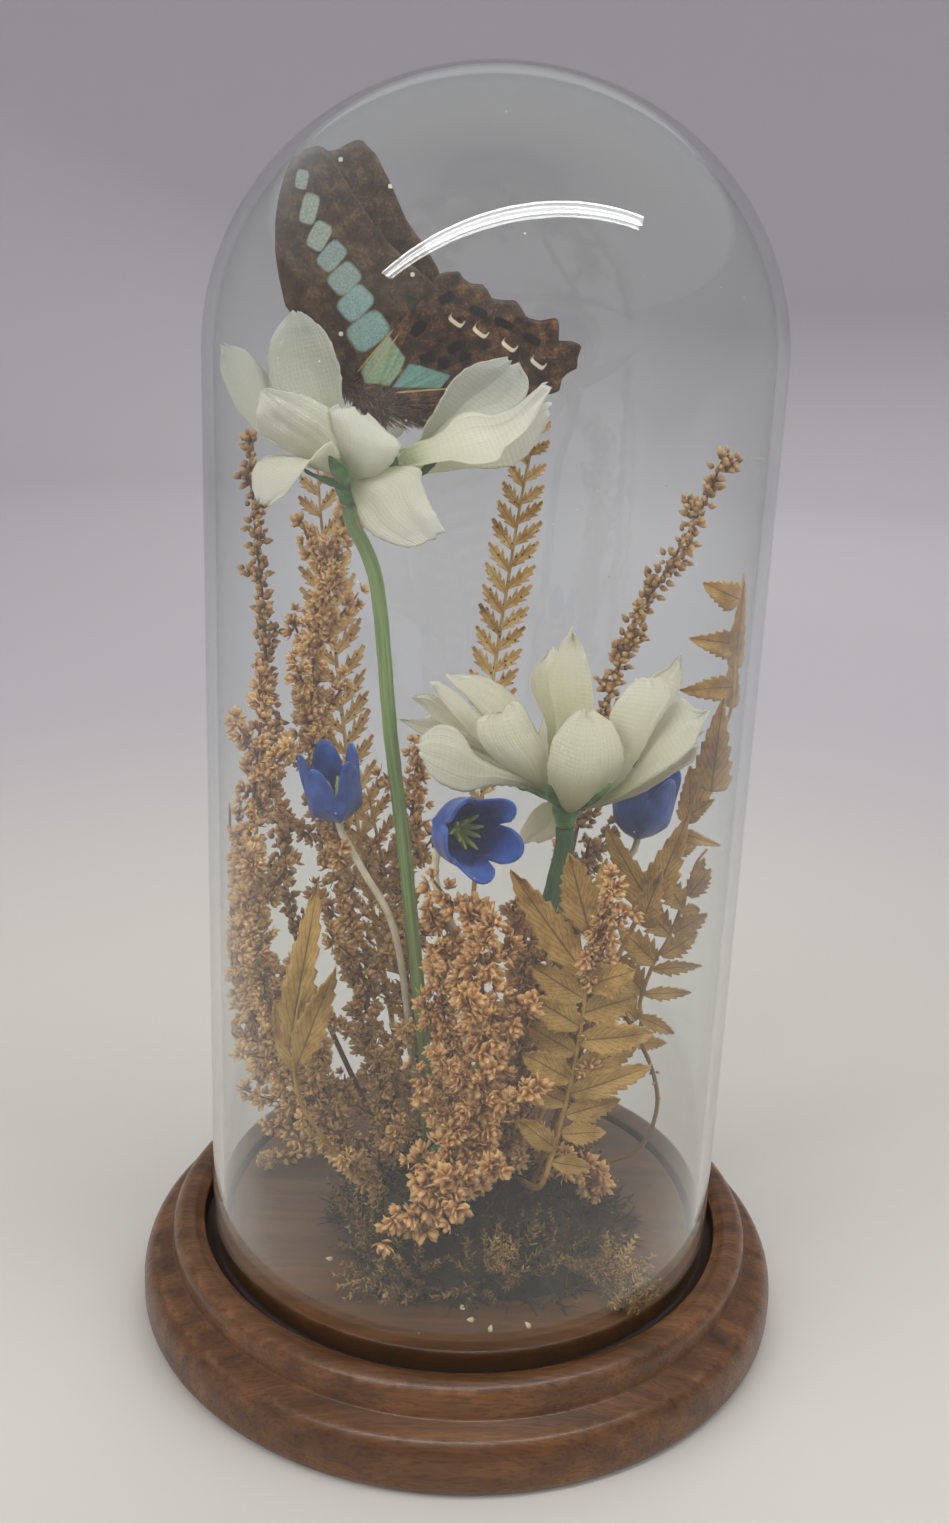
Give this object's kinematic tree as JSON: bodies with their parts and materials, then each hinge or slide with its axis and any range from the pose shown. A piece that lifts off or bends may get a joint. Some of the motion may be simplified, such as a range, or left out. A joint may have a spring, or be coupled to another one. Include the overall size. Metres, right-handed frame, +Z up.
{
  "type": "insect in glass dome",
  "caption": "Mounted butterfly on a white silk flower among dried ferns, seed plumes and small blue flowers, under a glass dome on a turned wooden base.",
  "frame": {"origin": "centre of the base's underside", "axes": "+Z up along the dome's axis; -Y is the front, from where the butterfly faces left"},
  "size_m": [0.128, 0.128, 0.235],
  "materials": {
    "walnut_stained_wood": "walnut stain under satin lacquer, worn pale on the edges",
    "dome_glass": "clear blown glass with a faint green tint, dusty inside low down",
    "dry_moss": "matt dry moss over floral foam",
    "floral_tape": "green crepe floral tape over wire",
    "white_silk": "thin woven polyester silk, cream white with pale green feet",
    "stamen_plastic": "yellow-green moulded plastic",
    "blue_plastic": "blue moulded plastic, soft sheen",
    "cream_plastic": "pale cream moulded plastic",
    "wing_scales": "scaled wing membrane, brown with a pale blue-green band",
    "dry_fern": "dried golden leaf, matt",
    "dry_plume": "dried tan florets on thin stems, matt"
  },
  "bodies": {
    "root": {"bare_stem": "dry_plume", "blue_flower_left_bell": "blue_plastic", "blue_flower_left_stamens": "stamen_plastic", "blue_flower_left_stem": "cream_plastic", "blue_flower_middle_bell": "blue_plastic", "blue_flower_middle_stamens": "stamen_plastic", "blue_flower_middle_stem": "cream_plastic", "blue_flower_right_bell": "blue_plastic", "blue_flower_right_stamens": "stamen_plastic", "blue_flower_right_stem": "cream_plastic", "butterfly": "wing_scales", "fallen_bud_string": "dry_plume", "fern_back_left": "dry_fern", "fern_back_right": "dry_fern", "fern_front": "dry_fern", "fern_left_leaf": "dry_fern", "fern_middle_left": "dry_fern", "fern_right_edge": "dry_fern", "fern_right_low": "dry_fern", "glass_dome": "dome_glass", "moss_mound": "dry_moss", "plume_behind_stem": "dry_plume", "plume_bushy": "dry_plume", "plume_centre": "dry_plume", "plume_centre_left": "dry_plume", "plume_centre_right": "dry_plume", "plume_dark": "dry_plume", "plume_front_right": "dry_plume", "plume_left_low": "dry_plume", "plume_left_side": "dry_plume", "plume_left_spike": "dry_plume", "plume_low_front": "dry_plume", "plume_low_left": "dry_plume", "plume_low_right": "dry_plume", "plume_right_spike": "dry_plume", "short_flower_calyx": "floral_tape", "short_flower_centre": "stamen_plastic", "short_flower_inner_petals": "white_silk", "short_flower_middle_petals": "white_silk", "short_flower_outer_petals": "white_silk", "short_flower_stem": "floral_tape", "tall_flower_calyx": "floral_tape", "tall_flower_centre": "stamen_plastic", "tall_flower_lower_petals": "white_silk", "tall_flower_stem": "floral_tape", "tall_flower_upper_petals": "white_silk", "wood_base": "walnut_stained_wood"}
  },
  "joints": []
}
